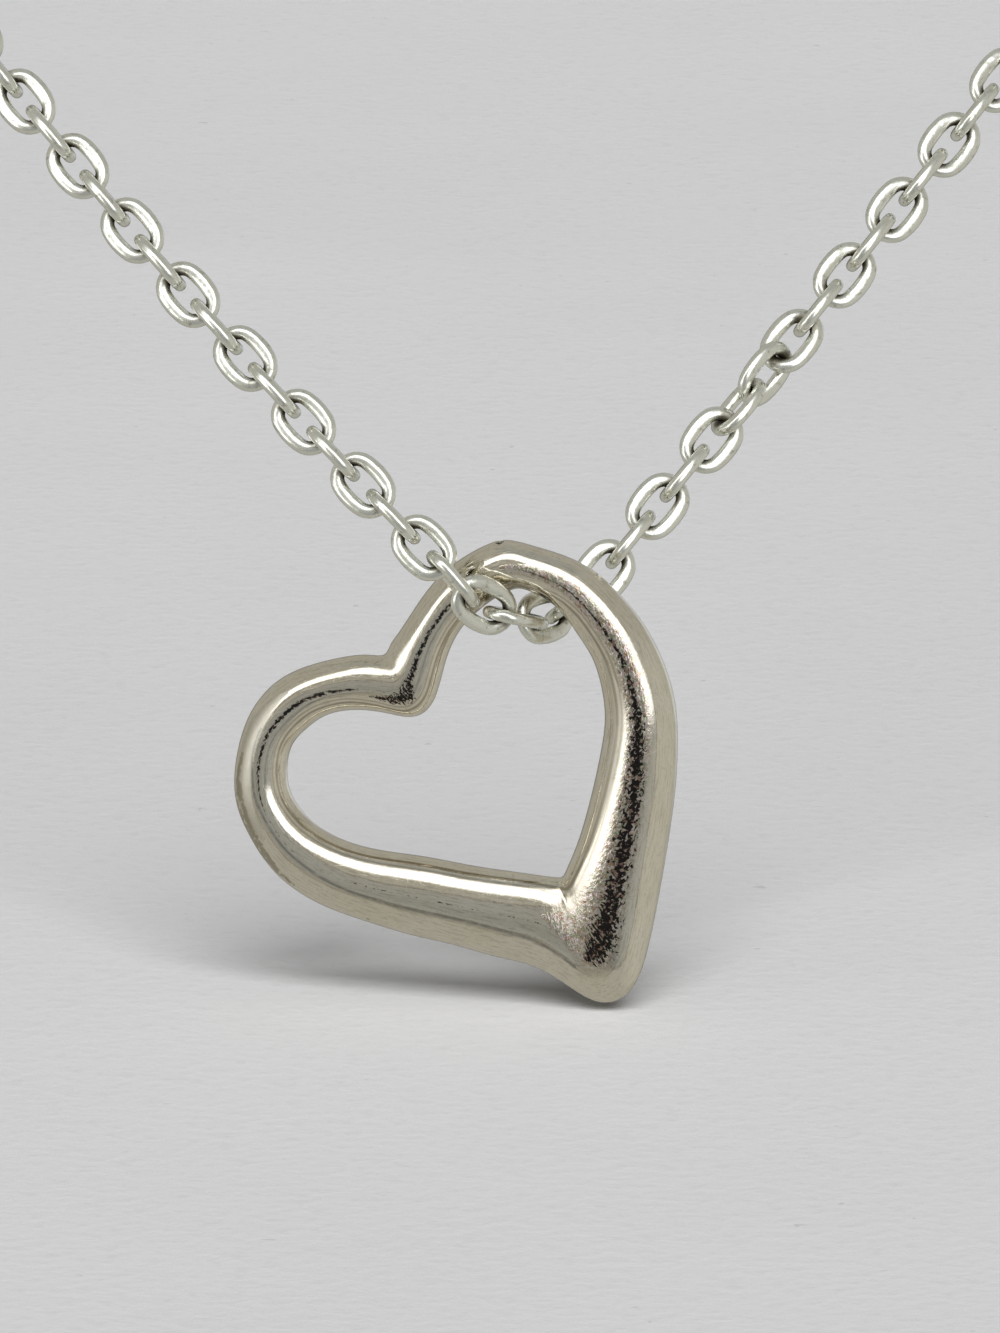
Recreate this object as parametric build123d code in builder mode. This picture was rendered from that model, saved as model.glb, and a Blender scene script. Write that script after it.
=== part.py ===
import os
from math import atan2, cos, degrees, pi, radians, sin

from numpy.linalg import solve

from build123d import *

# An open heart of round tube, slid on a cable chain that a clasp closes behind the neck.
# Millimetres. X points right and Y back as seen from the front, Z points up.
# The origin is the middle of the clasp, where the necklace rests on the nape.

# Heart, measured upright along its own axis
heart_width = 18.4
heart_height = 18.2
tube_depth = 2.4
heart_tilt = 33.0  # degrees that it hangs over to the left, seen from the front
heart_turn = 12.0  # degrees that its right side comes forward

# Chain
wire = 0.49
link_length = 2.85
link_width = 2.16
link_end_radius = 0.76
link_gap = 0.12
left_link_count = 110
right_link_count = 107

# Clasp
clasp_length = 11.0
clasp_width = 4.4
clasp_wire = 0.7
clasp_end_radius = 1.5
clasp_gap = 0.20
clasp_body = 1.9
clasp_body_length = 7.4
clasp_body_rounding = 0.4
clasp_collar = 1.2
clasp_collar_length = 0.9
clasp_collar_at = 2.2  # from the clasp's middle, along it

# Route of the chain, on a sheet that is bent back over the collar bones
front_slope = 63.0  # degrees between the level and the sheet at the heart
sheet_radius = 201.0
near_angle = {"left": 44.0, "right": 38.0}  # degrees from straight up the sheet, by the heart
far_angle = {"left": 36.5, "right": 36.0}  # the same, further up each arm
sag_length = 30.0  # stretch over which an arm turns from its near angle to its far angle
facing_slope = 80.0  # how upright the flat links stand beside the heart
facing_ends = 50.0  # slope of the sheet where they start to turn, to lie on it
lying_starts = 37.0  # slope of the sheet from where they lie on it
twist_first_link = 5  # link of the right arm where a quarter twist begins
twist_link_count = 4

# The links that carry the heart meet at these points, measured from the hang point
# under the top of its right lobe, and each is rolled about its own length.
crossing = [
    (-2.80, -1.60, 1.75),
    (-1.71, -1.70, 0.52),
    (-0.39, -1.07, -0.41),
    (0.78, 0.06, -0.86),
    (1.89, 1.19, -0.76),
    (3.10, 2.15, -0.05),
]
crossing_rolls = [82, 0, 91, 1, 87]

# Hang point in the upright heart, from its tip, as shares of its width and height
hang_across = 0.302
hang_up = 0.858

# Sections of the tube from the cleft, round the right lobe to the tip and back up the left side.
# Each is the inner edge (across, up) and the outer edge (across, up) from the tip, as shares of
# the heart's width and height, and its depth as a share of the tube's.
sections = [
    (-0.022, 0.749, -0.006, 0.898, 0.75),
    (0.037, 0.758, 0.021, 0.910, 0.75),
    (0.108, 0.819, 0.054, 0.924, 0.75),
    (0.173, 0.859, 0.129, 0.958, 0.75),
    (0.224, 0.872, 0.200, 0.982, 0.75),
    (0.267, 0.877, 0.273, 0.989, 0.75),
    (0.308, 0.875, 0.352, 0.977, 0.75),
    (0.339, 0.863, 0.403, 0.935, 0.76),
    (0.368, 0.822, 0.449, 0.884, 0.78),
    (0.384, 0.775, 0.490, 0.818, 0.81),
    (0.389, 0.704, 0.515, 0.726, 0.86),
    (0.384, 0.636, 0.521, 0.622, 0.94),
    (0.352, 0.552, 0.496, 0.501, 1.00),
    (0.305, 0.488, 0.443, 0.400, 1.05),
    (0.235, 0.416, 0.378, 0.310, 1.06),
    (0.151, 0.340, 0.295, 0.213, 1.05),
    (0.092, 0.297, 0.209, 0.119, 1.02),
    (0.073, 0.285, 0.109, 0.022, 0.95),
    (0.066, 0.284, 0.042, -0.009, 0.87),
    (0.062, 0.285, 0.000, 0.000, 0.84),
    (0.055, 0.289, -0.036, 0.043, 0.87),
    (0.032, 0.306, -0.083, 0.135, 0.92),
    (-0.013, 0.342, -0.149, 0.205, 0.95),
    (-0.090, 0.404, -0.218, 0.277, 0.96),
    (-0.165, 0.470, -0.289, 0.345, 0.96),
    (-0.241, 0.531, -0.361, 0.424, 0.94),
    (-0.298, 0.587, -0.426, 0.506, 0.91),
    (-0.337, 0.648, -0.471, 0.605, 0.87),
    (-0.352, 0.707, -0.478, 0.709, 0.84),
    (-0.343, 0.767, -0.453, 0.812, 0.81),
    (-0.300, 0.825, -0.377, 0.905, 0.79),
    (-0.248, 0.846, -0.298, 0.955, 0.77),
    (-0.189, 0.850, -0.206, 0.969, 0.76),
    (-0.128, 0.829, -0.103, 0.945, 0.75),
    (-0.071, 0.788, -0.041, 0.918, 0.75),
]
right_section_count = 18  # from the cleft round to the tip

pitch = link_length - 2 * wire - link_gap
clasp_pitch = clasp_length - 2 * clasp_wire - clasp_gap
sides = {"left": -1, "right": 1}
starts = {"left": Vector(*crossing[0]), "right": Vector(*crossing[-1])}


def sheet_frame(along):
    """Point, up-sheet direction and outward normal of the bent sheet, this far up from the heart."""
    slope = radians(front_slope) - along / sheet_radius
    foot = radians(front_slope)
    point = Vector(0, sin(foot) - sin(slope), cos(slope) - cos(foot)) * sheet_radius
    return point, Vector(0, cos(slope), sin(slope)), Vector(0, -sin(slope), cos(slope))


_, front_up, front_out = sheet_frame(0)
start_along = {side: starts[side].dot(front_up) for side in sides}
start_off = {side: starts[side].dot(front_out) for side in sides}


def bend_run(angle, turn, radius):
    """Run outwards and up the sheet of an arc that starts at this angle and turns inwards."""
    return radius * (cos(angle - turn) - cos(angle)), radius * (sin(angle) - sin(angle - turn))


# Each arm is a slack arc, a straight and the round of the neck. The neck's radius and the two
# straights follow from the chain's length, because both arms end on the same round.
near = {side: radians(near_angle[side]) for side in sides}
far = {side: radians(far_angle[side]) for side in sides}
sag_radius = {side: sag_length / (near[side] - far[side]) for side in sides}
sag_run = {side: bend_run(near[side], near[side] - far[side], sag_radius[side]) for side in sides}
loop_length = (left_link_count + right_link_count) * pitch + clasp_pitch
a, b = far["left"], far["right"]
straight_left, straight_right, neck_radius = solve(
    [
        [sin(a), sin(b), -cos(a) - cos(b)],
        [cos(a), -cos(b), sin(a) - sin(b)],
        [1, 1, pi + a + b],
    ],
    [
        starts["left"].X - starts["right"].X - sag_run["left"][0] - sag_run["right"][0],
        start_along["right"] + sag_run["right"][1] - start_along["left"] - sag_run["left"][1],
        loop_length - 2 * sag_length,
    ],
)
straight = {"left": straight_left, "right": straight_right}


def arm_place(side, run):
    """Distance out from an arm's start and up the sheet, this far along the arm."""
    sagged = min(run, sag_length)
    out, along = bend_run(near[side], sagged / sag_radius[side], sag_radius[side])
    level = min(max(run - sag_length, 0), straight[side])
    rounded = max(run - sag_length - straight[side], 0)
    neck_out, neck_along = bend_run(far[side], rounded / neck_radius, neck_radius)
    return out + level * sin(far[side]) + neck_out, along + level * cos(far[side]) + neck_along


def arm_point(side, run):
    """Point of the chain's route this far along an arm, measured from the hang point."""
    out, along = arm_place(side, run)
    point, _, outward = sheet_frame(start_along[side] + along)
    off = start_off[side] * (1 - 2 * run / loop_length)
    return point + outward * off + Vector(starts[side].X + sides[side] * out, 0, 0)


left_joints = [arm_point("left", number * pitch) for number in range(left_link_count, 0, -1)]
right_joints = [arm_point("right", number * pitch) for number in range(1, right_link_count + 1)]
joints = left_joints + [Vector(*point) for point in crossing] + right_joints
nape = (joints[0] + joints[-1]) / 2


def roll_of(number):
    """Roll in degrees of a link, counted along the chain from the clasp's left end."""
    if number < left_link_count:
        return 90 * ((left_link_count - number + 1) % 2)
    if number < left_link_count + len(crossing_rolls):
        return crossing_rolls[number - left_link_count]
    arm_number = number - left_link_count - len(crossing_rolls) + 1
    twist = min(max((arm_number - twist_first_link) / twist_link_count, 0), 1)
    return 90 * ((arm_number + 1) % 2) + 90 * twist


def facing(point):
    """Direction that a flat link faces at this point of the route."""
    foot = radians(front_slope)
    slope = degrees(atan2(sheet_radius * sin(foot) - point.Y, point.Z + sheet_radius * cos(foot)))
    turned = min(max((facing_ends - slope) / (facing_ends - lying_starts), 0), 1)
    lean = radians(facing_slope + (slope - facing_slope) * turned)
    return Vector(0, -sin(lean), cos(lean))


def link_plane(number):
    """Plane of a link between its two joints, placed from the nape."""
    first, last = joints[number], joints[number + 1]
    middle = (first + last) / 2
    direction = (last - first).normalized()
    level = facing(middle)
    level = (level - direction * level.dot(direction)).normalized()
    rolled = level.rotate(Axis((0, 0, 0), direction), roll_of(number))
    return Plane(middle - nape, x_dir=direction, z_dir=rolled)


def oval_path(length, width, thickness, end_radius):
    """Middle line of a ring of wire, as four arcs that run into each other, long along X."""
    reach = (length - thickness) / 2 - end_radius
    half = (width - thickness) / 2
    side_radius = (reach**2 + half**2 - end_radius**2) / (2 * (half - end_radius))
    turn = degrees(atan2(side_radius - half, reach))
    with BuildLine() as path:
        four_arcs(reach, end_radius, side_radius - half, side_radius, turn)
    return path.wire()


def oval_outline(half_width, half_depth):
    """Outline of a tube section: four arcs that run into each other, near an ellipse."""
    turn = atan2(half_width, half_depth)
    end_radius = half_width * (1 - sin(turn)) - half_depth * cos(turn)
    end_radius /= 1 - cos(turn) - sin(turn)
    side_radius = (half_width - end_radius * (1 - cos(turn))) / cos(turn)
    four_arcs(half_width - end_radius, end_radius, side_radius - half_depth, side_radius, degrees(turn))


def four_arcs(reach, end_radius, drop, side_radius, turn):
    """Closed oval whose end arcs reach out along X and turn this far either way."""
    CenterArc((reach, 0), end_radius, -turn, 2 * turn)
    CenterArc((0, -drop), side_radius, turn, 180 - 2 * turn)
    CenterArc((-reach, 0), end_radius, 180 - turn, 2 * turn)
    CenterArc((0, drop), side_radius, 180 + turn, 180 - 2 * turn)


def oval_ring(length, width, thickness, end_radius):
    """Ring of round wire."""
    path = oval_path(length, width, thickness, end_radius)
    with BuildPart() as ring:
        with BuildSketch(Plane(path @ 0, z_dir=path % 0)):
            Circle(thickness / 2)
        sweep(path=path)
    return ring.part


# The chain's loose links
link = oval_ring(link_length, link_width, wire, link_end_radius)
places = [link_plane(number) for number in range(len(joints) - 1)]
with BuildPart() as chain:
    with Locations(*places):
        add(link)
chain.part.label = "chain"

# The heart's tube, in two lofts that meet at the cleft and at the tip
turn, tilt = radians(heart_turn), radians(heart_tilt)
level_right = Vector(cos(turn), -sin(turn), 0)
across = level_right * cos(tilt) + Vector(0, 0, sin(tilt))
heart_plane = Plane(-nape, x_dir=across, z_dir=(-sin(turn), -cos(turn), 0))


def section_plane(section):
    """Plane of a tube section, and the half width of the tube there."""
    inner = Vector((section[0] - hang_across) * heart_width, (section[1] - hang_up) * heart_height)
    outer = Vector((section[2] - hang_across) * heart_width, (section[3] - hang_up) * heart_height)
    half = (outer - inner) / 2
    flat = Plane((inner + outer) / 2, x_dir=half, z_dir=half.cross(Vector(0, 0, 1)))
    return Plane(heart_plane.location * flat.location), half.length


right_sections = sections[: right_section_count + 1]
left_sections = sections[right_section_count:] + sections[:1]
with BuildPart() as heart:
    for side_sections in (right_sections, left_sections):
        for section in side_sections:
            plane, half_width = section_plane(section)
            with BuildSketch(plane):
                with BuildLine():
                    oval_outline(half_width, section[4] * tube_depth / 2)
                make_face()
        loft()
heart.part.label = "heart"

# The clasp: a long ring with a round barrel on one side and a short collar on the other
side = (clasp_width - clasp_wire) / 2
with BuildPart() as plain_clasp:
    with Locations((0, side, 0)):
        Cylinder(clasp_body / 2, clasp_body_length, rotation=(0, 90, 0))
    fillet(plain_clasp.edges().filter_by(GeomType.CIRCLE), clasp_body_rounding)
    add(oval_ring(clasp_length, clasp_width, clasp_wire, clasp_end_radius))
    with Locations((clasp_collar_at, -side, 0)):
        Cylinder(clasp_collar / 2, clasp_collar_length, rotation=(0, 90, 0))
with BuildPart(Plane((0, 0, 0), x_dir=joints[-1] - joints[0], z_dir=facing(nape))) as clasp:
    add(plain_clasp.part)
clasp.part.label = "clasp"

os.makedirs("parts", exist_ok=True)
export_step(heart.part, "parts/heart.step")
export_step(chain.part, "parts/chain.step")
export_step(clasp.part, "parts/clasp.step")
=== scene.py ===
from math import atan2, cos, pi, radians, sin

import bpy
import numpy as np
from mathutils import Matrix, Vector


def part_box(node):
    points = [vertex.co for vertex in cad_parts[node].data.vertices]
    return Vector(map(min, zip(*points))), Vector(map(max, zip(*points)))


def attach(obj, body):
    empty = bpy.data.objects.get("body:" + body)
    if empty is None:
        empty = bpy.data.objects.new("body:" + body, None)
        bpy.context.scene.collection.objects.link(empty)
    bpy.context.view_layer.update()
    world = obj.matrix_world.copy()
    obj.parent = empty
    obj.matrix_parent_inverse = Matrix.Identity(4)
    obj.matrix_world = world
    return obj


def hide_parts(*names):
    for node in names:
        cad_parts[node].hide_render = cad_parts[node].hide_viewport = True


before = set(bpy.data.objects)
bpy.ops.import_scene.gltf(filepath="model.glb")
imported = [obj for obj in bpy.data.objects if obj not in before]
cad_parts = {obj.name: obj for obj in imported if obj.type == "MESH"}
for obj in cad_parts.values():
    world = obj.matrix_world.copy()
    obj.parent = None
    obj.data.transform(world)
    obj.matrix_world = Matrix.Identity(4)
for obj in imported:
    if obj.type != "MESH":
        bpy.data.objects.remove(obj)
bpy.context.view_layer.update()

# An open heart of polished silver on a cable chain. Lengths are millimetres until a mesh is
# made. The axes are the solids' own: X right, Y back and Z up, from the nape.
METRE = 0.001

# Heart, measured upright along its own axis
heart_width = 18.4
heart_height = 18.2
tube_depth = 2.4
tube_run = 55.0  # length along the tube and round it, for the scale of its scratches
tube_round = 9.0
heart_tilt = radians(33.0)  # how far it hangs over to the left, seen from the front
heart_turn = radians(12.0)  # how far its right side comes forward
hang_across = 0.302  # hang point from the tip, as shares of the width and height
hang_up = 0.858
heart_steps = 700  # points along the tube and round it
heart_sides = 96

# Tube sections from the cleft, round the right lobe to the tip and back up the left side:
# inner edge (across, up), outer edge (across, up) and depth, as shares of the sizes above
sections = [
    (-0.022, 0.749, -0.006, 0.898, 0.75),
    (0.037, 0.758, 0.021, 0.910, 0.75),
    (0.108, 0.819, 0.054, 0.924, 0.75),
    (0.173, 0.859, 0.129, 0.958, 0.75),
    (0.224, 0.872, 0.200, 0.982, 0.75),
    (0.267, 0.877, 0.273, 0.989, 0.75),
    (0.308, 0.875, 0.352, 0.977, 0.75),
    (0.339, 0.863, 0.403, 0.935, 0.76),
    (0.368, 0.822, 0.449, 0.884, 0.78),
    (0.384, 0.775, 0.490, 0.818, 0.81),
    (0.389, 0.704, 0.515, 0.726, 0.86),
    (0.384, 0.636, 0.521, 0.622, 0.94),
    (0.352, 0.552, 0.496, 0.501, 1.00),
    (0.305, 0.488, 0.443, 0.400, 1.05),
    (0.235, 0.416, 0.378, 0.310, 1.06),
    (0.151, 0.340, 0.295, 0.213, 1.05),
    (0.092, 0.297, 0.209, 0.119, 1.02),
    (0.073, 0.285, 0.109, 0.022, 0.95),
    (0.066, 0.284, 0.042, -0.009, 0.87),
    (0.062, 0.285, 0.000, 0.000, 0.84),
    (0.055, 0.289, -0.036, 0.043, 0.87),
    (0.032, 0.306, -0.083, 0.135, 0.92),
    (-0.013, 0.342, -0.149, 0.205, 0.95),
    (-0.090, 0.404, -0.218, 0.277, 0.96),
    (-0.165, 0.470, -0.289, 0.345, 0.96),
    (-0.241, 0.531, -0.361, 0.424, 0.94),
    (-0.298, 0.587, -0.426, 0.506, 0.91),
    (-0.337, 0.648, -0.471, 0.605, 0.87),
    (-0.352, 0.707, -0.478, 0.709, 0.84),
    (-0.343, 0.767, -0.453, 0.812, 0.81),
    (-0.300, 0.825, -0.377, 0.905, 0.79),
    (-0.248, 0.846, -0.298, 0.955, 0.77),
    (-0.189, 0.850, -0.206, 0.969, 0.76),
    (-0.128, 0.829, -0.103, 0.945, 0.75),
    (-0.071, 0.788, -0.041, 0.918, 0.75),
]

# Chain, in wire that nearly closes the gaps between its links
link_pitch = 1.75
link_length = 2.90
link_width = 2.17
link_wire = 0.57
link_side = 0.05  # how much thicker the wire is along a link's sides
link_flat = 0.12  # share by which the wire's face is flattened
link_end_radius = 0.755
left_link_count = 110
right_link_count = 107
near_links = 26  # links each side of the heart that get the finer mesh
near_link_steps = (16, 10, 16)  # round an end, along a side and round the wire
far_link_steps = (10, 6, 12)
meeting_shade_reach = 0.60  # how far the painted shade reaches where links meet

# Marks on the heart: wear, stains, and bands of painted dark reflection and painted shade.
# Rows run along the tube as in the sections, and rounds run from 0 on its outer edge over 0.25
# on its front to 0.5 on its inner edge. A band is (row, middle, half width), and a line is (row,
# middle).
# Nearly black bands: the long ones are a painted dark reflection, partly tarnish; the two short ones
# are small dark spots, one in the nick.
tarnish_and_dark_reflection_bands = [
    [(6.4, 0.245, 0.003), (8, 0.238, 0.004), (10, 0.238, 0.006), (11.5, 0.238, 0.012),
     (12.6, 0.235, 0.024), (14, 0.226, 0.028), (16, 0.224, 0.030), (17, 0.225, 0.042),
     (17.9, 0.222, 0.030), (18.9, 0.215, 0.004)],
    [(-1.2, 0.300, 0.003), (0, 0.300, 0.028), (0.6, 0.297, 0.040), (1.0, 0.268, 0.014),
     (2, 0.264, 0.011), (3.5, 0.264, 0.010), (4.4, 0.268, 0.002)],
    [(5.88, 0.045, 0.002), (5.97, 0.045, 0.016), (6.08, 0.045, 0.016), (6.17, 0.045, 0.002)],
    [(24.80, 0.090, 0.002), (24.88, 0.090, 0.012), (24.96, 0.090, 0.002)],
    [(28.6, 0.272, 0.002), (29.6, 0.264, 0.008), (31, 0.261, 0.010), (32.5, 0.260, 0.011),
     (33.6, 0.262, 0.003)],
]
scuffed_bands = [
    [(6.0, 0.235, 0.01), (8, 0.225, 0.05), (11, 0.225, 0.060), (14, 0.235, 0.055),
     (15, 0.245, 0.070), (16, 0.255, 0.085), (17, 0.262, 0.095), (18.4, 0.262, 0.088),
     (19.1, 0.275, 0.080), (19.7, 0.29, 0.070), (20.3, 0.30, 0.035), (20.8, 0.30, 0.004)],
]
# Brown bands: the first is stains on the left side, the second is painted shade where the crossing
# links lie over the heart's inner edge.
stain_and_chain_shade_bands = [
    [(26.6, 0.11, 0.02), (27.6, 0.115, 0.06), (28.8, 0.12, 0.06), (29.8, 0.13, 0.02)],
    [(3.4, 0.42, 0.01), (4.2, 0.42, 0.09), (6.6, 0.45, 0.14), (8.4, 0.46, 0.07), (10, 0.46, 0.01)],
]
hazed_bands = [
    [(27.8, 0.18, 0.01), (28.6, 0.17, 0.06), (29.6, 0.165, 0.075), (30.6, 0.165, 0.060),
     (31.8, 0.17, 0.01)],
    [(10.8, 0.33, 0.01), (11.8, 0.33, 0.042), (13.2, 0.340, 0.042), (14.4, 0.356, 0.026),
     (15.6, 0.37, 0.004)],
]
inner_line = [
    (0, 0.375), (1, 0.385), (2, 0.38), (3.5, 0.372), (7, 0.372), (8.5, 0.332), (9.5, 0.312),
    (11, 0.321), (12, 0.331), (14, 0.350), (16, 0.380), (18, 0.415), (20, 0.420), (22, 0.426),
    (24, 0.420), (27, 0.415), (29, 0.390), (31, 0.358), (33, 0.346), (35, 0.375),
]
outer_line = [
    (19.6, 0.185), (20.2, 0.198), (21.4, 0.208), (22.4, 0.219), (24.4, 0.219), (25.4, 0.229),
    (26.8, 0.250), (28.4, 0.250), (28.9, 0.240), (29.4, 0.229), (29.8, 0.212), (30.6, 0.205),
]
past_band_width = 0.001  # half width that a band is given past its ends
farthest_mark = 3.0  # past this many half widths a band is no longer felt

# Worn bump on the crown, with a nick in its middle: its place, then half widths in rows and rounds
nick_row = 6.0
nick_round = 0.03
bump_height = 0.055
bump_rows = 0.34
bump_rounds = 0.05
nick_depth = 0.0825
nick_rows = 0.07

# Clasp
clasp_length = 11.0
clasp_width = 4.4
clasp_wire = 0.7
clasp_end_radius = 1.5
clasp_gap = 0.20
clasp_body = 1.9
clasp_body_length = 7.4
clasp_body_rounding = 0.4
clasp_collar = 1.2
clasp_collar_length = 0.9
clasp_collar_rounding = 0.12
clasp_collar_at = 2.2  # from the clasp's middle, along it
clasp_ring_steps = (40, 60, 32)  # round an end, along a side and round the wire
clasp_body_steps = (10, 64)  # over a rounded corner and round the rod
clasp_collar_steps = (6, 48)

# Route of the chain, as in the solids, on a sheet that is bent back over the collar bones
front_slope = radians(63.0)  # between the level and the sheet at the heart
sheet_radius = 201.0
near_angle = {"left": radians(44.0), "right": radians(38.0)}  # from straight up the sheet
far_angle = {"left": radians(36.5), "right": radians(36.0)}  # the same, further up each arm
sag_length = 30.0  # stretch over which an arm turns from its near angle to its far angle
facing_slope = radians(80.0)  # how upright the flat links stand beside the heart
facing_ends = radians(50.0)  # slope of the sheet where they start to turn, to lie on it
lying_starts = radians(37.0)  # slope of the sheet from where they lie on it
twist_first_link = 5  # link of the right arm where a quarter twist begins
twist_link_count = 4

# Where the links that carry the heart meet, from the hang point, and each one's roll in degrees
crossing = [
    (-2.80, -1.60, 1.75),
    (-1.71, -1.70, 0.52),
    (-0.39, -1.07, -0.41),
    (0.78, 0.06, -0.86),
    (1.89, 1.19, -0.76),
    (3.10, 2.15, -0.05),
]
crossing_rolls = [82, 0, 91, 1, 87]

# Camera, as the photograph was taken, with its target measured from the hang point
camera_distance = 600.0
camera_rise = radians(12.0)
camera_turn = radians(0.53)
camera_target = (-0.425, -0.009, -2.714)
picture_height = 52.57  # what the picture's long side takes in at the target
sensor = 36.0
nearest_seen = 10.0
farthest_seen = 20000.0

# Floor, this far under the heart's tip
floor_gap = 0.35
floor_reach = 6000.0

# Lights by name: azimuth from straight in front towards the right, rise from the horizon and
# spread, all in degrees, and strength
lights = [
    ("key", 8, 40, 44, 3.40),
    ("top", 0, 75, 60, 0.24),
    ("side", -40, 30, 30, 0.12),
]
sun_colour = (1.0, 0.995, 0.985)

# Surroundings: a fill that lights matt things, and the pale backdrop past the floor
fill_colour = (0.99, 1.0, 1.0)
fill_strength = 0.030
pale_colour = (1.0, 1.0, 1.0)
pale_strength = 0.615

# What the metal reflects. An oval patch is its centre and its half widths (azimuth, rise) in
# degrees, the softness of its rim, its hole as a share of its size, and its light, which is
# below zero where it darkens. The arch is the outer oval less the inner one, above its foot.
arch_outer = ((-12.5, 4.0), (46.5, 58.5), 0.11, 0)
arch_inner = ((-19.0, -3.5), (29.5, 39.5), 0.11, 0)
arch_foot = (-10.0, 4.0)
arch_light = (1.7, 1.72, 1.76)
tent_light = (0.405, 0.398, 0.362)
tent_patches = [
    ((2.0, -8.0), (36.0, 30.0), 0.12, 0, (-0.070, -0.056, -0.030)),
    ((2.0, -8.0), (38.0, 32.0), 0.03, 0.95, (-0.16, -0.16, -0.15)),
    ((-18.0, -14.0), (12.0, 9.0), 0.7, 0, (-0.05, -0.05, -0.05)),
    ((75.0, -15.0), (50.0, 40.0), 0.5, 0, (0.09, 0.09, 0.085)),
    ((-14.0, 2.0), (34.0, 44.0), 0.08, 0.80, (-0.10, -0.10, -0.10)),
    ((152.0, 0.0), (24.0, 16.0), 0.4, 0, (0.26, 0.29, 0.34)),
    ((0.0, 90.0), (180.0, 30.0), 0.3, 0, (-0.05, -0.03, -0.01)),
    ((0.0, -90.0), (180.0, 38.0), 0.3, 0, (0.01, 0.01, 0.01)),
    ((-64.0, -4.0), (19.0, 9.0), 0.35, 0, (1.2, 1.22, 1.25)),
]
# The same behind the heart, with azimuths from straight behind, which edges reflect
rear_patches = [
    ((0.0, -10.0), (30.0, 26.0), 0.5, 0, (-0.20, -0.20, -0.19)),
]

# Colours of the heart: clean metal, what greys it all over, its wear, and its painted dark reflection
# and painted shade
heart_light = (0.87, 0.82, 0.71)
heart_warm = (0.84, 0.78, 0.655)
heart_mottled = (0.74, 0.69, 0.57)
heart_scratched = (0.55, 0.50, 0.41)
heart_drawn = (0.50, 0.47, 0.40)
heart_grained = (0.56, 0.51, 0.44)
fleck_brown = (0.46, 0.29, 0.21)
fleck_green = (0.36, 0.39, 0.25)
fleck_pink = (0.74, 0.62, 0.62)
haze_colour = (0.54, 0.515, 0.435)
inner_line_colour = (0.34, 0.28, 0.20)
outer_line_colour = (0.33, 0.33, 0.31)
# Brown of the stains, which is also the painted shade under the crossing links
stain_and_shade_colour = (0.30, 0.26, 0.18)
# Nearly black and rusty brown of the painted dark reflection bands, which are partly tarnish
tarnish_and_reflection_black = (0.018, 0.015, 0.016)
tarnish_and_reflection_rust = (0.36, 0.24, 0.19)
scratch_turns = (0, 14, -22, 71, -64)  # directions of the scratches, in degrees from the tube's run

# Colours of the chain, the clasp and the floor
chain_light = (0.97, 0.97, 0.91)
chain_dull = (0.88, 0.885, 0.81)
clasp_light = (0.93, 0.93, 0.88)
clasp_dull = (0.85, 0.85, 0.79)
link_greyed = (0.42, 0.41, 0.34)
# Dark brown of grime in patches and of the painted shade where links meet
link_grime_and_shade = (0.17, 0.15, 0.11)
floor_dull = (0.752, 0.755, 0.766)
floor_light = (0.766, 0.768, 0.778)
floor_fibre = (0.60, 0.60, 0.61)
floor_speck = (0.42, 0.42, 0.42)


# Route of the chain


def sheet_frame(along):
    """Point, up-sheet direction and outward normal of the bent sheet, this far up from the heart."""
    slope = front_slope - along / sheet_radius
    point = Vector((0, sin(front_slope) - sin(slope), cos(slope) - cos(front_slope))) * sheet_radius
    return point, Vector((0, cos(slope), sin(slope))), Vector((0, -sin(slope), cos(slope)))


def bend_run(angle, turn, radius):
    """Run outwards and up the sheet of an arc that starts at this angle and turns inwards."""
    return radius * (cos(angle - turn) - cos(angle)), radius * (sin(angle) - sin(angle - turn))


def solve_route():
    """Starts of the two arms, their straights and the round of the neck."""
    starts = {"left": Vector(crossing[0]), "right": Vector(crossing[-1])}
    _, up, out = sheet_frame(0)
    route = {"starts": starts, "along": {}, "off": {}, "sag_radius": {}}
    runs = {}
    for side, start in starts.items():
        route["along"][side] = start.dot(up)
        route["off"][side] = start.dot(out)
        turn = near_angle[side] - far_angle[side]
        route["sag_radius"][side] = sag_length / turn
        runs[side] = bend_run(near_angle[side], turn, route["sag_radius"][side])
    clasp_pitch = clasp_length - 2 * clasp_wire - clasp_gap
    route["length"] = (left_link_count + right_link_count) * link_pitch + clasp_pitch
    a, b = far_angle["left"], far_angle["right"]
    left, right, radius = np.linalg.solve(
        [
            [sin(a), sin(b), -cos(a) - cos(b)],
            [cos(a), -cos(b), sin(a) - sin(b)],
            [1, 1, pi + a + b],
        ],
        [
            starts["left"].x - starts["right"].x - runs["left"][0] - runs["right"][0],
            route["along"]["right"] + runs["right"][1] - route["along"]["left"] - runs["left"][1],
            route["length"] - 2 * sag_length,
        ],
    )
    route["straight"] = {"left": left, "right": right}
    route["neck_radius"] = radius
    return route


def arm_point(route, side, run):
    """Point of the route this far along an arm, measured from the hang point."""
    near, far = near_angle[side], far_angle[side]
    radius = route["sag_radius"][side]
    out, along = bend_run(near, min(run, sag_length) / radius, radius)
    level = min(max(run - sag_length, 0), route["straight"][side])
    rounded = max(run - sag_length - route["straight"][side], 0)
    neck_out, neck_along = bend_run(far, rounded / route["neck_radius"], route["neck_radius"])
    out += level * sin(far) + neck_out
    along += level * cos(far) + neck_along
    point, _, outward = sheet_frame(route["along"][side] + along)
    off = route["off"][side] * (1 - 2 * run / route["length"])
    side_sign = -1 if side == "left" else 1
    return point + outward * off + Vector((route["starts"][side].x + side_sign * out, 0, 0))


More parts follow.
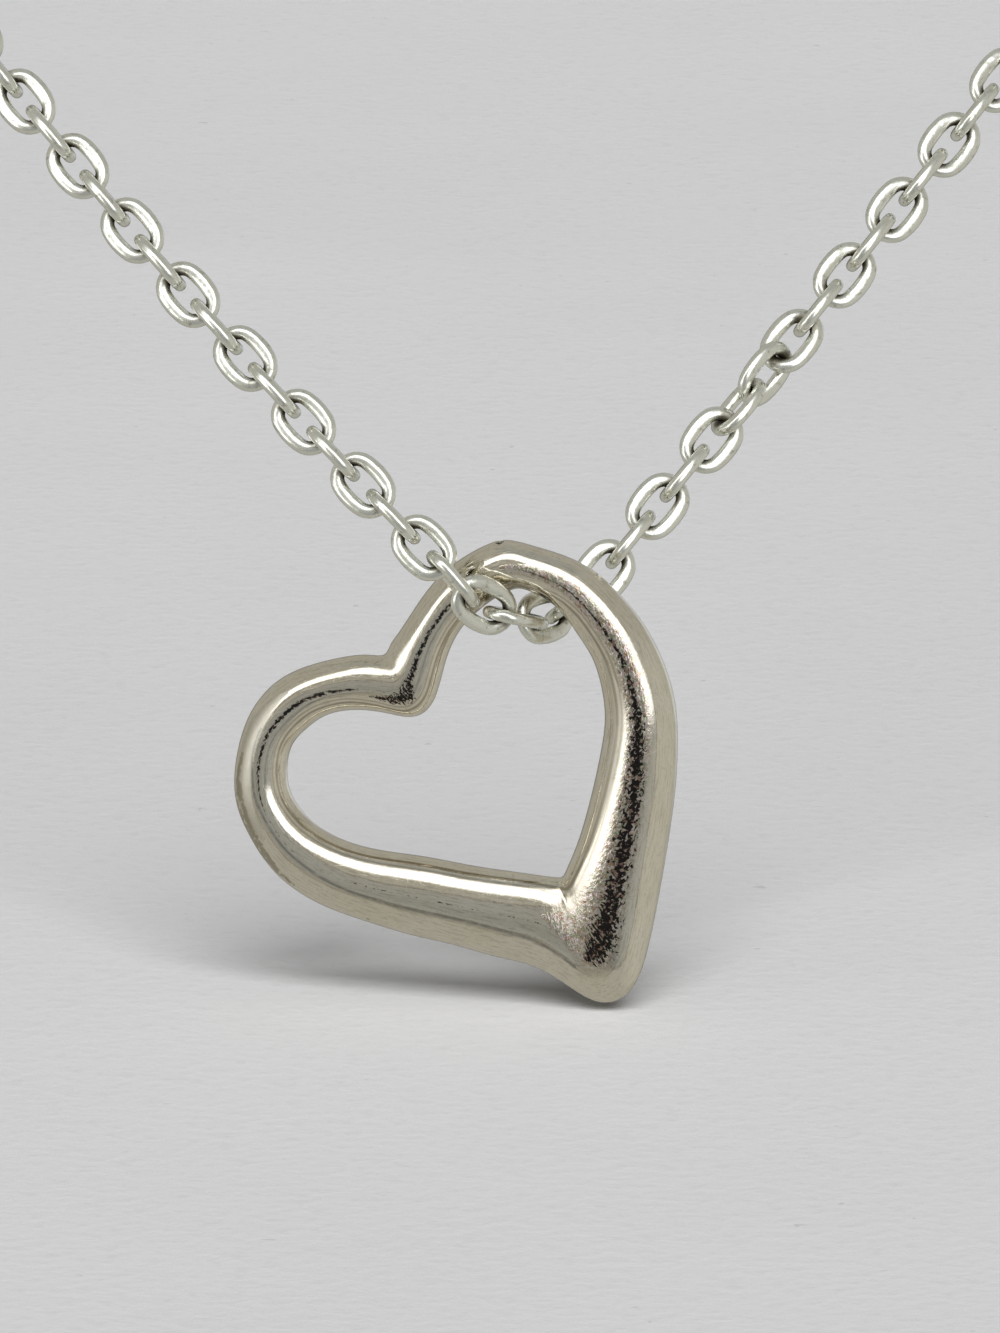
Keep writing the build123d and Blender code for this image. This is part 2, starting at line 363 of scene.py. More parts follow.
def route_joints():
    """Where neighbouring links meet, from the clasp's left end round to its right end."""
    route = solve_route()
    left = [arm_point(route, "left", n * link_pitch) for n in range(left_link_count, 0, -1)]
    right = [arm_point(route, "right", n * link_pitch) for n in range(1, right_link_count + 1)]
    return left + [Vector(point) for point in crossing] + right


joints = route_joints()
nape = (joints[0] + joints[-1]) / 2


def facing(point):
    """Direction that a flat link faces at this point of the route."""
    slope = atan2(sheet_radius * sin(front_slope) - point.y, point.z + sheet_radius * cos(front_slope))
    turned = min(max((facing_ends - slope) / (facing_ends - lying_starts), 0), 1)
    lean = facing_slope + (slope - facing_slope) * turned
    return Vector((0, -sin(lean), cos(lean)))


def roll_of(number):
    """Roll in degrees of a link, counted along the chain from the clasp's left end."""
    if number < left_link_count:
        return 90 * ((left_link_count - number + 1) % 2)
    if number < left_link_count + len(crossing_rolls):
        return crossing_rolls[number - left_link_count]
    arm_number = number - left_link_count - len(crossing_rolls) + 1
    twist = min(max((arm_number - twist_first_link) / twist_link_count, 0), 1)
    return 90 * ((arm_number + 1) % 2) + 90 * twist


def link_matrix(number):
    """Place of a link between its two joints, with its length along X and its face along Z."""
    first, last = joints[number], joints[number + 1]
    middle = (first + last) / 2
    direction = (last - first).normalized()
    level = facing(middle)
    level = (level - direction * level.dot(direction)).normalized()
    face = Matrix.Rotation(radians(roll_of(number)), 3, direction) @ level
    return place(middle - nape, direction, face)


def place(origin, along, face):
    """4 x 4 place from an origin, the direction of its X and the direction of its Z."""
    turned = Matrix((along, face.cross(along), face)).transposed().to_4x4()
    return Matrix.Translation(origin) @ turned


# Meshes


def new_piece(name, points, faces, body, node, uv=None):
    """Smooth mesh object from points in millimetres, which rides on a body for a CAD node."""
    mesh = bpy.data.meshes.new(name)
    mesh.from_pydata((np.asarray(points) * METRE).tolist(), [], faces)
    if uv is not None:
        layer = mesh.uv_layers.new(name="round_and_along")
        layer.data.foreach_set("uv", np.asarray(uv, dtype=np.float32).ravel())
    mesh.shade_smooth()
    mesh.validate()
    piece = bpy.data.objects.new(name, mesh)
    bpy.context.scene.collection.objects.link(piece)
    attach(piece, body)
    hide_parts(node)
    return piece


def set_values(piece, name, values):
    """Give each point of a piece a value that its material reads by name."""
    layer = piece.data.attributes.new(name, "FLOAT", "POINT")
    layer.data.foreach_set("value", values.astype(np.float32))


def grid_faces(steps, sides, first=0):
    """Faces of a closed tube whose rings of points follow each other and meet."""
    ring, side = np.meshgrid(np.arange(steps), np.arange(sides), indexing="ij")
    here, there = ring * sides, (ring + 1) % steps * sides
    next_side = (side + 1) % sides
    corners = [here + side, there + side, there + next_side, here + next_side]
    return np.stack([corner.ravel() for corner in corners], axis=1) + first


def oval_line(length, width, wire, end_radius, end_steps, side_steps):
    """Middle line of a ring of wire and its outward directions, long along X."""
    reach = (length - wire) / 2 - end_radius
    half = (width - wire) / 2
    side_radius = (reach**2 + half**2 - end_radius**2) / (2 * (half - end_radius))
    drop = side_radius - half
    turn = atan2(drop, reach)
    arcs = [
        (reach, 0, end_radius, -turn, turn, end_steps),
        (0, -drop, side_radius, turn, pi - turn, side_steps),
        (-reach, 0, end_radius, pi - turn, pi + turn, end_steps),
        (0, drop, side_radius, pi + turn, 2 * pi - turn, side_steps),
    ]
    points, outward = [], []
    for x, y, radius, start, end, steps in arcs:
        angle = np.linspace(start, end, steps, endpoint=False)
        direction = np.stack([np.cos(angle), np.sin(angle)], axis=1)
        points.append(np.array([x, y]) + direction * radius)
        outward.append(direction)
    return np.concatenate(points), np.concatenate(outward)


def wire_ring(length, width, wire, end_radius, steps, thicker=0.0, flatter=0.0):
    """Points of a ring of wire, round by round, and the count of rounds.

    Its long sides may be thicker inwards and its face flatter. The steps are those round an end,
    along a side and round the wire.
    """
    end_steps, side_steps, sides = steps
    line, outward = oval_line(length, width, wire, end_radius, end_steps, side_steps)
    angle = np.linspace(0, 2 * pi, sides, endpoint=False)
    on_side = np.clip(1 - (np.abs(line[:, 0]) / (length / 2 - wire)) ** 2, 0, 1)[:, None]
    inwards = np.where(np.cos(angle) < 0, np.cos(angle), 0)[None, :]
    across = np.cos(angle)[None, :] * wire / 2 + inwards * on_side * thicker
    flat = line[:, None, :] + outward[:, None, :] * across[:, :, None]
    height = np.sin(angle) * (1 - flatter * np.sin(angle) ** 2) * wire / 2
    height = np.broadcast_to(height, flat.shape[:2])
    return np.concatenate([flat, height[..., None]], axis=2).reshape(-1, 3), len(line)


def placed(points, matrix):
    """Points moved by a 4 x 4 place."""
    matrix = np.array(matrix)
    return points @ matrix[:3, :3].T + matrix[:3, 3]


def chain_piece(name, numbers, steps):
    """One mesh of many links, whose points know how near they are to where links meet."""
    ring, rounds = wire_ring(
        link_length, link_width, link_wire, link_end_radius, steps, link_side, link_flat
    )
    points = [placed(ring, link_matrix(number)) for number in numbers]
    faces = [grid_faces(rounds, steps[2], count * len(ring)) for count in range(len(numbers))]
    piece = new_piece(
        name, np.concatenate(points), np.concatenate(faces).tolist(), "necklace", "chain"
    )
    # Painted shade where links meet: strongest at the inside of each end, fading over the reach
    from_end = link_length / 2 - link_wire - np.abs(ring[:, 0])
    meeting_shade = np.clip(1 - np.hypot(from_end, ring[:, 1]) / meeting_shade_reach, 0, 1)
    set_values(piece, "meeting_shade", np.tile(meeting_shade, len(numbers)))
    return piece


def rounded_rod(length, width, rounding, steps):
    """Points and faces of a rod along X with rounded ends."""
    corner_steps, sides = steps
    angle = np.linspace(0, pi / 2, corner_steps)
    along = length / 2 - rounding + rounding * np.sin(angle)
    radius = width / 2 - rounding + rounding * np.cos(angle)
    along = np.concatenate([-along[::-1], along])
    radius = np.concatenate([radius[::-1], radius])
    turn = np.linspace(0, 2 * pi, sides, endpoint=False)
    points = np.stack([np.repeat(along, sides), np.outer(radius, np.cos(turn)).ravel(),
                       np.outer(radius, np.sin(turn)).ravel()], axis=1)
    last = (len(along) - 1) * sides
    faces = grid_faces(len(along), sides)[:last, ::-1].tolist()
    for end, first in ((-length / 2, 0), (length / 2, last)):
        middle = len(points)
        points = np.concatenate([points, [[end, 0, 0]]])
        for side in range(sides):
            corners = [middle, first + side, first + (side + 1) % sides]
            faces.append(corners if end > 0 else corners[::-1])
    return points, faces


def clasp_piece():
    """The clasp: a long ring of wire with a barrel along one side and a collar on the other."""
    face = facing(nape)
    along = joints[-1] - joints[0]
    along = (along - face * along.dot(face)).normalized()
    side = (clasp_width - clasp_wire) / 2
    points, rounds = wire_ring(
        clasp_length, clasp_width, clasp_wire, clasp_end_radius, clasp_ring_steps
    )
    faces = grid_faces(rounds, clasp_ring_steps[2]).tolist()
    barrel = rounded_rod(clasp_body_length, clasp_body, clasp_body_rounding, clasp_body_steps)
    collar = rounded_rod(clasp_collar_length, clasp_collar, clasp_collar_rounding, clasp_collar_steps)
    for rod, rod_at in ((barrel, (0, side, 0)), (collar, (clasp_collar_at, -side, 0))):
        faces += [[corner + len(points) for corner in corners] for corners in rod[1]]
        points = np.concatenate([points, rod[0] + np.array(rod_at)])
    points = placed(points, place(Vector(), along, face))
    return new_piece("clasp_ring", points, faces, "necklace", "clasp")


def periodic_cubic(rows, steps):
    """Smooth closed curve through rows of values, read at evenly spaced steps."""
    rows = np.asarray(rows, dtype=float)
    count = len(rows)
    matrix = np.eye(count) * 4 + np.roll(np.eye(count), 1, axis=1) + np.roll(np.eye(count), -1, axis=1)
    slope = np.linalg.solve(matrix, 3 * (np.roll(rows, -1, axis=0) - np.roll(rows, 1, axis=0)))
    at = np.linspace(0, count, steps, endpoint=False)
    first = np.floor(at).astype(int)
    share = (at - first)[:, None]
    last = (first + 1) % count
    return (
        rows[first] * (1 + 2 * share) * (1 - share) ** 2
        + slope[first] * share * (1 - share) ** 2
        + rows[last] * share**2 * (3 - 2 * share)
        + slope[last] * share**2 * (share - 1)
    )


def heart_matrix():
    """Place of the upright heart's plane: X across it, Y up it and Z out of its front."""
    level_right = Vector((cos(heart_turn), -sin(heart_turn), 0))
    across = level_right * cos(heart_tilt) + Vector((0, 0, sin(heart_tilt)))
    return place(-nape, across, Vector((-sin(heart_turn), -cos(heart_turn), 0)))


def heart_piece():
    """The heart's tube, with its run along u and its round along v of the UV map."""
    table = periodic_cubic(sections, heart_steps)
    size = np.array([heart_width, heart_height])
    hang = np.array([hang_across, hang_up])
    inner = (table[:, 0:2] - hang) * size
    outer = (table[:, 2:4] - hang) * size
    middle, half = (inner + outer) / 2, (outer - inner) / 2
    angle = np.linspace(0, 2 * pi, heart_sides, endpoint=False)
    flat = middle[:, None, :] + half[:, None, :] * np.cos(angle)[None, :, None]
    depth = table[:, 4:5] * tube_depth / 2 * np.sin(angle)[None, :]
    points = np.concatenate([flat, depth[..., None]], axis=2).reshape(-1, 3)

    side_on = half / np.linalg.norm(half, axis=1)[:, None]
    outward = side_on[:, None, :] * np.cos(angle)[None, :, None]
    forward = np.broadcast_to(np.sin(angle)[None, :, None], (heart_steps, heart_sides, 1))
    outward = np.concatenate([outward, forward], axis=2).reshape(-1, 3)
    rows = np.repeat(np.arange(heart_steps) * len(sections) / heart_steps, heart_sides)
    rounds = np.tile(np.arange(heart_sides) / heart_sides, heart_steps)
    points = points + outward * worn_relief(rows, rounds)[:, None]

    faces = grid_faces(heart_steps, heart_sides)[:, ::-1]
    ring, side = np.meshgrid(np.arange(heart_steps), np.arange(heart_sides), indexing="ij")
    u = np.stack([ring, ring + 1, ring + 1, ring], axis=2) / heart_steps
    v = np.stack([side, side, side + 1, side + 1], axis=2) / heart_sides
    uv = np.stack([u, v], axis=3)[:, :, ::-1]
    piece = new_piece(
        "heart_tube", placed(points, heart_matrix()), faces.tolist(), "pendant", "heart", uv
    )
    for name, values in wear_and_painted_light_marks(rows, rounds).items():
        set_values(piece, name, values)
    return piece


def from_bands(bands, rows, rounds):
    """How far each point lies from the nearest band's middle, with 1 at that band's edge."""
    shares = []
    for band in bands:
        at, middle, half = np.array(band).T
        near = np.where(rows > at[-1] + 1, rows - len(sections), rows)
        width = np.interp(near, at, half, left=past_band_width, right=past_band_width)
        shares.append(np.abs(rounds - np.interp(near, at, middle)) / width)
    return np.minimum(np.min(shares, axis=0), farthest_mark)


def from_line(line, rows, rounds):
    """How far round the tube each point lies from a line."""
    line_rows, line_rounds = np.array(line).T
    return rounds - np.interp(rows, line_rows, line_rounds)


def wear_and_painted_light_marks(rows, rounds):
    """Values at the heart's points that its silver reads: places in bands and off the lines."""
    on_outer = (rows > outer_line[0][0]) & (rows < outer_line[-1][0])
    return {
        "tarnish_and_dark_reflection": from_bands(tarnish_and_dark_reflection_bands, rows, rounds),
        "scuffed": from_bands(scuffed_bands, rows, rounds),
        "stain_and_chain_shade": from_bands(stain_and_chain_shade_bands, rows, rounds),
        "hazed": from_bands(hazed_bands, rows, rounds),
        "from_inner_line": from_line(inner_line, rows, rounds),
        "from_outer_line": np.where(on_outer, from_line(outer_line, rows, rounds), 1),
    }


def worn_relief(rows, rounds):
    """Height of the small worn bump on the crown, less the nick in its middle."""
    along = rows - nick_row
    across = (np.mod(rounds - nick_round + 0.5, 1) - 0.5) / bump_rounds
    bump = np.exp(-((along / bump_rows) ** 2) - across**2) * bump_height
    return bump - np.exp(-((along / nick_rows) ** 2) - across**2) * nick_depth


# Materials


def node(tree, kind, **values):
    """New shader node with its properties and unlinked sockets set."""
    made = tree.nodes.new(kind)
    for key, value in values.items():
        if hasattr(made, key):
            setattr(made, key, value)
        else:
            made.inputs[key.replace("_", " ")].default_value = value
    return made


def connect(tree, sockets, values):
    """Fill sockets in turn with numbers, vectors or other nodes' results."""
    for socket, value in zip(sockets, values):
        if isinstance(value, (int, float, tuple)):
            socket.default_value = value
        else:
            tree.links.new(value, socket)


def maths(tree, operation, *values):
    """Result of a maths node."""
    made = node(tree, "ShaderNodeMath", operation=operation)
    connect(tree, made.inputs, values)
    return made.outputs[0]


def vector_maths(tree, operation, *values):
    """Result of a vector maths node."""
    made = node(tree, "ShaderNodeVectorMath", operation=operation)
    connect(tree, made.inputs, values)
    return made.outputs["Value" if operation == "LENGTH" else "Vector"]


def add_up(tree, base, *parts):
    """Sum of a number and of pairs of a result and its size."""
    total = base
    for value, size in parts:
        total = maths(tree, "MULTIPLY_ADD", value, size, total)
    return total


def ramp(tree, value, low, high, start=0.0, end=1.0):
    """Smooth step of a value from start at low to end at high."""
    made = node(tree, "ShaderNodeMapRange", interpolation_type="SMOOTHSTEP")
    for key, number in (("From Min", low), ("From Max", high), ("To Min", start), ("To Max", end)):
        made.inputs[key].default_value = number
    tree.links.new(value, made.inputs["Value"])
    return made.outputs[0]


def grain(tree, place_on, scale, detail=4.0, stretch=None, turn=0.0, warp=0.0):
    """Noise from 0 to 1 at so many grains a millimetre, stretched and turned if asked."""
    if stretch is not None:
        mapping = node(tree, "ShaderNodeMapping", vector_type="TEXTURE")
        mapping.inputs["Scale"].default_value = stretch
        mapping.inputs["Rotation"].default_value = (0, 0, turn)
        tree.links.new(place_on, mapping.inputs["Vector"])
        place_on = mapping.outputs[0]
    made = node(tree, "ShaderNodeTexNoise", Scale=scale, Detail=detail, Roughness=0.6, Distortion=warp)
    tree.links.new(place_on, made.inputs["Vector"])
    return made.outputs["Fac"]


def blend(tree, share, first, second):
    """Colour mixed from two, each a colour or another node's result."""
    made = node(tree, "ShaderNodeMix", data_type="RGBA")
    colours = [(*value, 1) if isinstance(value, tuple) else value for value in (first, second)]
    connect(tree, (made.inputs["Factor"], made.inputs[6], made.inputs[7]), (share, *colours))
    return made.outputs[2]


def millimetres(tree):
    """Place on the object in millimetres."""
    place_on = node(tree, "ShaderNodeTexCoord").outputs["Object"]
    return vector_maths(tree, "MULTIPLY", place_on, (1 / METRE, 1 / METRE, 1 / METRE))


def tube_place(tree):
    """Place on the heart's unrolled tube in millimetres, run along X and round along Y."""
    place_on = node(tree, "ShaderNodeUVMap", uv_map="round_and_along").outputs[0]
    return vector_maths(tree, "MULTIPLY", place_on, (tube_run, tube_round, 0))


def point_value(tree, name):
    """Value that the piece's points carry under this name, or 0 where they carry none."""
    return node(tree, "ShaderNodeAttribute", attribute_name=name).outputs["Fac"]


def new_material(name):
    """Material, its nodes and its surface."""
    material = bpy.data.materials.new(name)
    material.use_nodes = True
    tree = material.node_tree
    return material, tree, tree.nodes["Principled BSDF"]


def relief(tree, surface, *heights):
    """Bump from pairs of a height and its size in millimetres."""
    bump = node(tree, "ShaderNodeBump", Strength=1.0, Distance=METRE)
    tree.links.new(add_up(tree, 0.0, *heights), bump.inputs["Height"])
    tree.links.new(bump.outputs[0], surface.inputs["Normal"])


def scratches(tree, place_on, share):
    """Fine straight scratches in several directions, 1 where one runs, each shorter and wider."""
    total = 0.0
    for number, turn in enumerate(scratch_turns):
        size = (1.6 - 0.2 * number, 0.03 + 0.006 * number, 1.0)
        lines = grain(tree, place_on, 1.0, 2.0, size, radians(turn), 0.4)
        total = maths(tree, "MAXIMUM", ramp(tree, lines, share, share + 0.06), total)
    return total


def thin_line(tree, distance, core, rim, share):
    """Share of a thin line, full over its core and gone past its rim."""
    return ramp(tree, maths(tree, "ABSOLUTE", distance), core, rim, share, 0.0)


def heart_wear_and_painted_light(tree, solid, clouds, mottle, speckle):
    """Share of each kind of wear, of the painted dark reflection and of the painted shade, from the
    values that the heart's points carry.
    """
    # Bright speckles break up the painted dark reflection bands, which are partly tarnish, and grow
    # denser towards their edges
    tarnish_and_dark_reflection = ramp(tree, point_value(tree, "tarnish_and_dark_reflection"), 0.1, 2.0, 0.98, 0.0)
    tarnish_and_dark_reflection = maths(tree, "SUBTRACT", tarnish_and_dark_reflection, speckle)
    # Stains, and painted shade under the crossing links
    stain_and_chain_shade = ramp(tree, point_value(tree, "stain_and_chain_shade"), 0.4, 1.4, 1.0, 0.0)
    stain_and_chain_shade = maths(tree, "MULTIPLY", grain(tree, solid, 2.8, 3.0), stain_and_chain_shade)
    # The inner line is a double one, and both lines fade in places
    distance = point_value(tree, "from_inner_line")
    inner = thin_line(tree, distance, 0.003, 0.013, 0.75)
    beside = thin_line(tree, maths(tree, "ADD", distance, 0.028), 0.002, 0.009, 0.45)
    inner = maths(tree, "MAXIMUM", inner, beside)
    outer = thin_line(tree, point_value(tree, "from_outer_line"), 0.002, 0.011, 0.75)
    return {
        "tarnish_and_dark_reflection": ramp(tree, tarnish_and_dark_reflection, 0.0, 0.16),
        "scuffed": ramp(tree, point_value(tree, "scuffed"), 0.5, 1.3, 1.0, 0.0),
        "stain_and_chain_shade": ramp(tree, stain_and_chain_shade, 0.34, 0.50),
        "hazed": ramp(tree, point_value(tree, "hazed"), 0.5, 1.25, 1.0, 0.0),
        "inner": maths(tree, "MULTIPLY", inner, ramp(tree, clouds, 0.25, 0.5, 0.6, 1.0)),
        "outer": maths(tree, "MULTIPLY", outer, ramp(tree, mottle, 0.30, 0.55, 0.35, 1.0)),
    }


def clean_heart(tree, solid, tube, clouds, mottle, hairs):
    """Colour of the heart's metal where only time has greyed it."""
    colour = blend(tree, ramp(tree, clouds, 0.35, 0.65), heart_light, heart_warm)
    colour = blend(tree, ramp(tree, mottle, 0.55, 0.75, 0.0, 0.5), colour, heart_mottled)
    colour = blend(tree, maths(tree, "MULTIPLY", hairs, 0.35), colour, heart_scratched)
    drawn = grain(tree, tube, 2.0, 4.0, (1.3, 0.14, 1.0), warp=0.5)
    colour = blend(tree, ramp(tree, drawn, 0.49, 0.66, 0.0, 0.50), colour, heart_drawn)
    grained = grain(tree, solid, 7.0, 3.0)
    return blend(tree, ramp(tree, grained, 0.50, 0.75, 0.0, 0.34), colour, heart_grained)


def worn_and_painted_heart(tree, solid, wear_and_painted_light, colour):
    """Colour of the heart with each kind of wear, the painted shade and the painted dark reflection
    laid over the last.
    """
    green = ramp(tree, grain(tree, solid, 4.2, 2.0), 0.42, 0.56)
    pink = ramp(tree, grain(tree, solid, 6.0, 2.0), 0.48, 0.58)
    flecks = blend(tree, pink, blend(tree, green, fleck_brown, fleck_green), fleck_pink)
    flecked = ramp(tree, grain(tree, solid, 4.8, 3.0, warp=1.2), 0.38, 0.58, 0.20, 0.90)
    rusted = ramp(tree, grain(tree, solid, 5.5, 2.0), 0.57, 0.64)
    layers = [
        (maths(tree, "MULTIPLY", wear_and_painted_light["scuffed"], flecked), flecks),
        (maths(tree, "MULTIPLY", wear_and_painted_light["hazed"], 0.72), haze_colour),
        (wear_and_painted_light["inner"], inner_line_colour),
        (wear_and_painted_light["outer"], outer_line_colour),
        # Brown stains, and painted shade where the links cross the heart
        (maths(tree, "MULTIPLY", wear_and_painted_light["stain_and_chain_shade"], 0.7), stain_and_shade_colour),
        # Nearly black painted dark reflection, partly tarnish, with rusty patches
        (maths(tree, "MULTIPLY", wear_and_painted_light["tarnish_and_dark_reflection"], 0.97), blend(tree, rusted, tarnish_and_reflection_black, tarnish_and_reflection_rust)),
    ]
    for share, tint in layers:
        colour = blend(tree, share, colour, tint)
    return colour


def heart_material():
    """Polished, warm silver with scratches, mottling and wear, and with painted dark reflection and
    painted shade.
    """
    material, tree, surface = new_material("heart_silver")
    surface.inputs["Metallic"].default_value = 1.0
    solid = millimetres(tree)
    tube = tube_place(tree)
    clouds = grain(tree, solid, 0.55, 5.0)
    mottle = grain(tree, solid, 2.4, 6.0)
    fine = grain(tree, solid, 6.5, 1.5, warp=0.6)
    dents = grain(tree, solid, 1.1, 1.0)
    grit = grain(tree, tube, 6.0, 3.0, (1.0, 0.75, 1.0), radians(25), 0.6)
    hairs = scratches(tree, tube, 0.66)
    wear_and_painted_light = heart_wear_and_painted_light(tree, solid, clouds, mottle, ramp(tree, grit, 0.33, 0.67))
    colour = clean_heart(tree, solid, tube, clouds, mottle, hairs)
    tree.links.new(worn_and_painted_heart(tree, solid, wear_and_painted_light, colour), surface.inputs["Base Color"])
    rough = add_up(
        tree, 0.02,
        (clouds, 0.04),
        (ramp(tree, mottle, 0.5, 0.8), 0.08),
        (hairs, 0.08),
        (maths(tree, "ADD", wear_and_painted_light["tarnish_and_dark_reflection"], wear_and_painted_light["stain_and_chain_shade"]), 0.12),
        (wear_and_painted_light["hazed"], 0.34),
    )
    tree.links.new(rough, surface.inputs["Roughness"])
    scuffs = maths(tree, "MULTIPLY", wear_and_painted_light["scuffed"], grit)
    relief(tree, surface, (dents, 0.006), (fine, 0.0017), (hairs, -0.0006), (scuffs, 0.019))
    return material


def link_material(name, light_tint, dull_tint):
    """Silver of the chain and clasp, greyed and roughened in patches, and darkened by grime in patches
    and by painted shade where links meet.
    """
    material, tree, surface = new_material(name)
    surface.inputs["Metallic"].default_value = 1.0
    solid = millimetres(tree)
    clouds = grain(tree, solid, 0.8, 4.0)
    mottle = grain(tree, solid, 3.5, 5.0)
    dents = grain(tree, solid, 2.2, 1.0)
    fine = grain(tree, solid, 9.0, 1.5, warp=0.5)
    colour = blend(tree, ramp(tree, clouds, 0.3, 0.7), light_tint, dull_tint)
    colour = blend(tree, ramp(tree, mottle, 0.55, 0.72, 0.0, 0.7), colour, link_greyed)
    # Grime in patches, plus painted shade where links meet
    grime_and_shade = maths(tree, "MULTIPLY_ADD", mottle, 0.6, point_value(tree, "meeting_shade"))
    grime_and_shade = ramp(tree, grime_and_shade, 0.36, 0.85, 0.0, 0.92)
    tree.links.new(blend(tree, grime_and_shade, colour, link_grime_and_shade), surface.inputs["Base Color"])
    rough = add_up(tree, 0.19, (clouds, 0.10), (ramp(tree, mottle, 0.5, 0.8), 0.12), (grime_and_shade, 0.15))
    tree.links.new(rough, surface.inputs["Roughness"])
    relief(tree, surface, (dents, 0.014), (fine, 0.0014))
    return material


def floor_material():
    """Pale, matt paper with faint clouds, fibres and specks."""
    material, tree, surface = new_material("floor_pale")
    solid = millimetres(tree)
    clouds = ramp(tree, grain(tree, solid, 0.045, 3.0), 0.30, 0.70)
    fibres = grain(tree, solid, 1.3, 5.0)
    specks = ramp(tree, grain(tree, solid, 0.9, 2.0), 0.74, 0.79, 0.0, 0.4)
    colour = blend(tree, clouds, floor_dull, floor_light)
    colour = blend(tree, ramp(tree, fibres, 0.50, 0.74, 0.0, 0.22), colour, floor_fibre)
    tree.links.new(blend(tree, specks, colour, floor_speck), surface.inputs["Base Color"])
    tree.links.new(add_up(tree, 0.88, (fibres, 0.1)), surface.inputs["Roughness"])
    surface.inputs["Specular IOR Level"].default_value = 0.1
    relief(tree, surface, (fibres, 0.05))
    return material


# Stage


def look_back(item, azimuth, rise):
    """Turn a camera or light to look back from an azimuth and rise, and give that direction."""
    direction = Vector((sin(azimuth) * cos(rise), -cos(azimuth) * cos(rise), sin(rise)))
    item.rotation_euler = (-direction).to_track_quat("-Z", "Y").to_euler()
    return direction


def make_camera():
    """Camera at the photograph's viewing angle."""
    data = bpy.data.cameras.new("camera")
    data.sensor_width = sensor
    data.lens = sensor * camera_distance / picture_height
    data.clip_start = nearest_seen * METRE
    data.clip_end = farthest_seen * METRE
    camera = bpy.data.objects.new("camera", data)
    back = look_back(camera, camera_turn, camera_rise)
    target = (Vector(camera_target) - nape) * METRE
    camera.location = target + back * camera_distance * METRE
    bpy.context.scene.collection.objects.link(camera)
    bpy.context.scene.camera = camera


def make_floor():
    """Plain pale floor just under the heart's tip."""
    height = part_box("heart")[0][2] - floor_gap * METRE
    reach = floor_reach * METRE
    corners = [(x * reach, y * reach, height) for x, y in ((-1, -1), (1, -1), (1, 1), (-1, 1))]
    mesh = bpy.data.meshes.new("floor")
    mesh.from_pydata(corners, [], [(0, 1, 2, 3)])
    mesh.materials.append(floor_material())
    floor = bpy.data.objects.new("floor", mesh)
    bpy.context.scene.collection.objects.link(floor)
    floor.visible_glossy = False


def make_lights():
    """Wide, even lights from in front, which throw the heart's shadow back over the floor."""
    for name, azimuth, rise, spread, strength in lights:
        data = bpy.data.lights.new(name, "SUN")
        data.energy = strength
        data.angle = radians(spread)
        data.color = sun_colour
        light = bpy.data.objects.new(name, data)
        look_back(light, radians(azimuth), radians(rise))
        light.visible_glossy = False
        bpy.context.scene.collection.objects.link(light)


def chosen(tree, share, first, second):
    """Shader that is the second by a share and else the first."""
    made = node(tree, "ShaderNodeMixShader")
    connect(tree, made.inputs, (share, first.outputs[0], second.outputs[0]))
    return made


def make_world():
    """Pale surroundings for the eye, a dim fill for the floor, and a studio for reflections."""
    world = bpy.data.worlds.new("studio")
    bpy.context.scene.world = world
    world.use_nodes = True
    tree = world.node_tree
    tree.nodes.clear()
    path = node(tree, "ShaderNodeLightPath")
    fill = node(tree, "ShaderNodeBackground", Color=(*fill_colour, 1), Strength=fill_strength)
    pale = node(tree, "ShaderNodeBackground", Color=(*pale_colour, 1), Strength=pale_strength)
    studio = node(tree, "ShaderNodeBackground", Strength=1.0)
    tree.links.new(studio_light(tree), studio.inputs["Color"])
    seen = chosen(tree, path.outputs["Is Camera Ray"], fill, pale)
    mirrored = chosen(tree, path.outputs["Is Glossy Ray"], seen, studio)
    tree.links.new(mirrored.outputs[0], node(tree, "ShaderNodeOutputWorld").inputs[0])


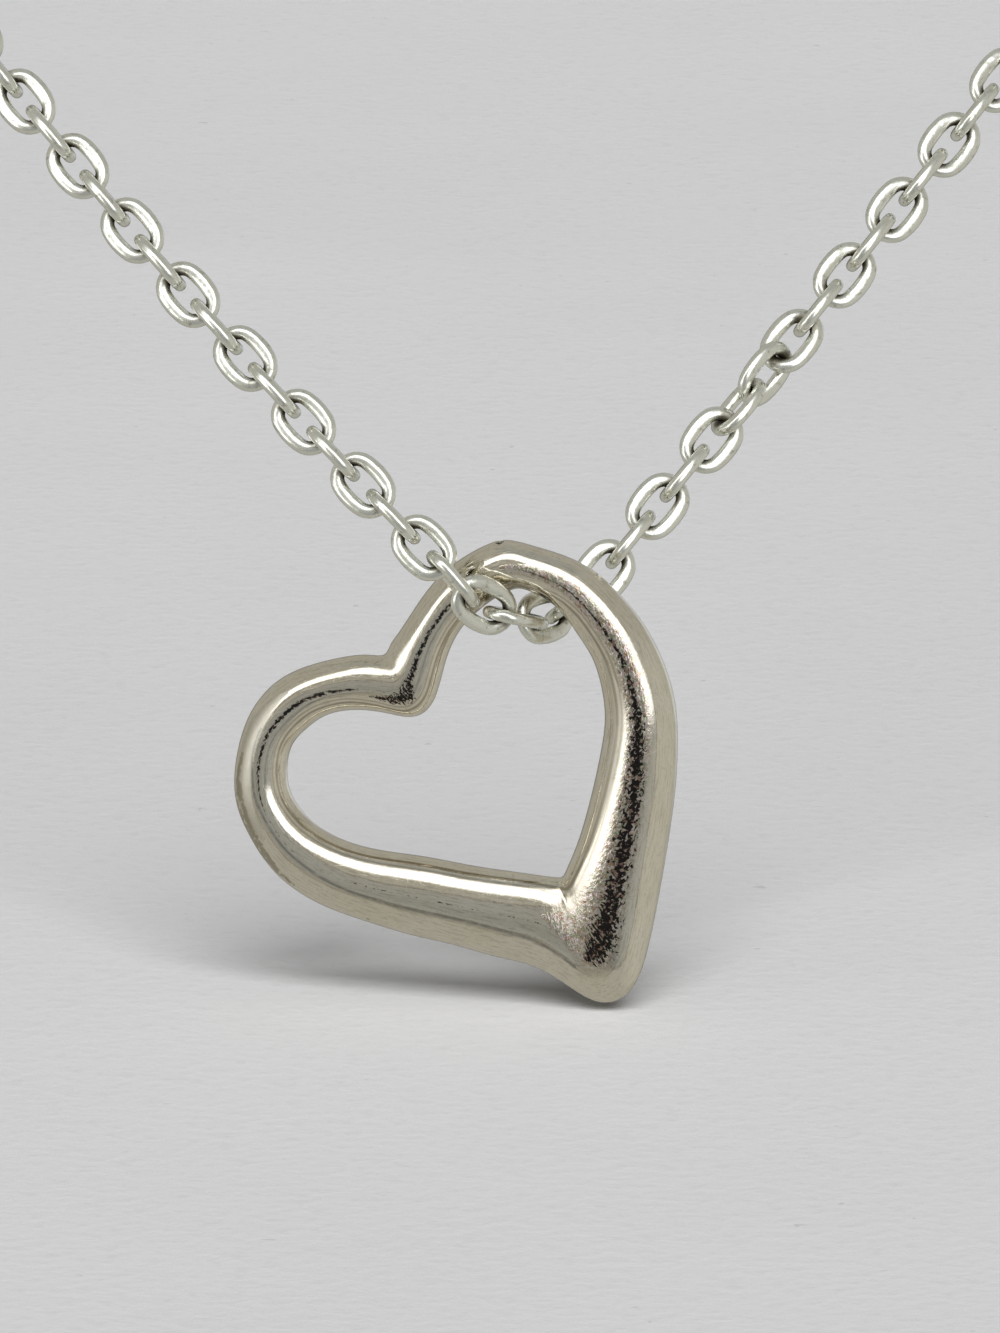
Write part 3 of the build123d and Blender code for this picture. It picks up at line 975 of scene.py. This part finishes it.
def studio_light(tree):
    """What polished metal reflects: a dim tent, its patches, and an arch of light in front."""
    split = node(tree, "ShaderNodeSeparateXYZ")
    tree.links.new(node(tree, "ShaderNodeTexCoord").outputs["Generated"], split.inputs[0])
    right, back = split.outputs["X"], split.outputs["Y"]
    rise = maths(tree, "ARCSINE", split.outputs["Z"])
    toward = joined(tree, maths(tree, "ARCTAN2", right, maths(tree, "MULTIPLY", back, -1.0)), rise)
    behind = joined(tree, maths(tree, "ARCTAN2", right, back), rise)
    hole = maths(tree, "SUBTRACT", 1.0, oval_patch(tree, toward, *arch_inner))
    arch = maths(tree, "MULTIPLY", oval_patch(tree, toward, *arch_outer), hole)
    foot = ramp(tree, rise, radians(arch_foot[0]), radians(arch_foot[1]))
    arch = maths(tree, "MULTIPLY", foot, arch)
    total = vector_maths(tree, "MULTIPLY_ADD", arch, arch_light, tent_light)
    for place_on, patches in ((toward, tent_patches), (behind, rear_patches)):
        for *shape, light in patches:
            patch = oval_patch(tree, place_on, *shape)
            total = vector_maths(tree, "MULTIPLY_ADD", patch, light, total)
    return total


def joined(tree, azimuth, rise):
    """Vector of an azimuth and a rise."""
    made = node(tree, "ShaderNodeCombineXYZ")
    connect(tree, made.inputs, (azimuth, rise))
    return made.outputs[0]


def oval_patch(tree, toward, centre, reach, soft, hole):
    """Share from 0 to 1 of an oval patch of the studio, with a soft rim and a hole if asked."""
    offset = vector_maths(tree, "SUBTRACT", toward, (radians(centre[0]), radians(centre[1]), 0))
    stretch = (1 / radians(reach[0]), 1 / radians(reach[1]), 0)
    distance = vector_maths(tree, "LENGTH", vector_maths(tree, "MULTIPLY", offset, stretch))
    share = ramp(tree, distance, 1 - soft, 1 + soft, 1.0, 0.0)
    if hole:
        share = maths(tree, "MULTIPLY", share, ramp(tree, distance, hole - soft, hole + soft))
    return share


heart_piece().data.materials.append(heart_material())

chain_silver = link_material("chain_silver", chain_light, chain_dull)
first_near = left_link_count - near_links
last_near = left_link_count + len(crossing_rolls) + near_links
near = list(range(first_near, last_near))
far = list(range(first_near)) + list(range(last_near, len(joints) - 1))
for name, numbers, steps in (
    ("chain_front", near, near_link_steps),
    ("chain_round_neck", far, far_link_steps),
):
    chain_piece(name, numbers, steps).data.materials.append(chain_silver)

clasp_piece().data.materials.append(link_material("clasp_silver", clasp_light, clasp_dull))

make_camera()
make_floor()
make_world()
make_lights()

bpy.context.scene.view_settings.view_transform = "Standard"
